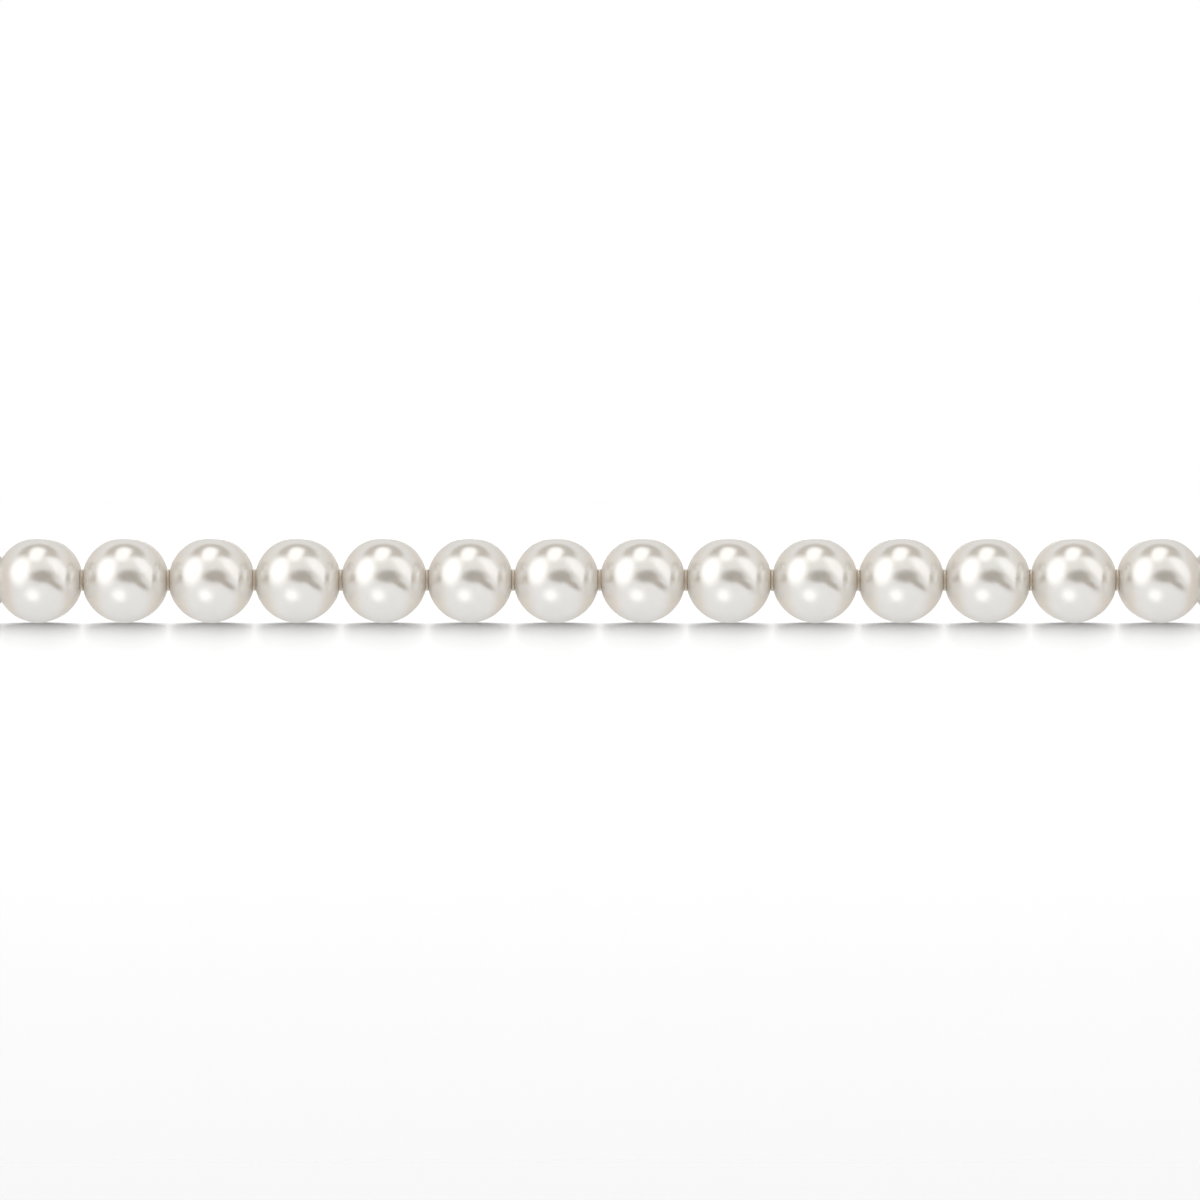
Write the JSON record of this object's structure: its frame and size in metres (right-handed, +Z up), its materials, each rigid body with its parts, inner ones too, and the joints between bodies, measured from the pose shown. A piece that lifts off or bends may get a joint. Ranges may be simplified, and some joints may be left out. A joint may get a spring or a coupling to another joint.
{
  "type": "pearl bracelet",
  "caption": "Stretch bracelet: a closed loop of round drilled pearls with thin clear spacer rings on an elastic cord, lying flattened into two straight rows.",
  "frame": {"origin": "on the resting surface, under the middle of the loop", "axes": "+X along the two straight rows, +Y from the front row to the rear row, +Z up from the resting surface"},
  "size_m": [0.0954, 0.0182, 0.006],
  "materials": {
    "nacre": "lustrous white pearl nacre, smooth and soft-gloss with a faint cream overtone",
    "clear_elastic": "clear elastic cord and clear silicone spacer rings"
  },
  "bodies": {
    "root": {"pearl_01": "nacre", "pearl_02": "nacre", "pearl_03": "nacre", "pearl_04": "nacre", "pearl_05": "nacre", "pearl_06": "nacre", "pearl_07": "nacre", "pearl_08": "nacre", "pearl_09": "nacre", "pearl_10": "nacre", "pearl_11": "nacre", "pearl_12": "nacre", "pearl_13": "nacre", "pearl_14": "nacre", "pearl_15": "nacre", "pearl_16": "nacre", "pearl_17": "nacre", "pearl_18": "nacre", "pearl_19": "nacre", "pearl_20": "nacre", "pearl_21": "nacre", "pearl_22": "nacre", "pearl_23": "nacre", "pearl_24": "nacre", "pearl_25": "nacre", "pearl_26": "nacre", "pearl_27": "nacre", "pearl_28": "nacre", "pearl_29": "nacre", "pearl_30": "nacre", "pearl_31": "nacre", "pearl_32": "nacre", "cord_with_spacers": "clear_elastic"}
  },
  "joints": []
}
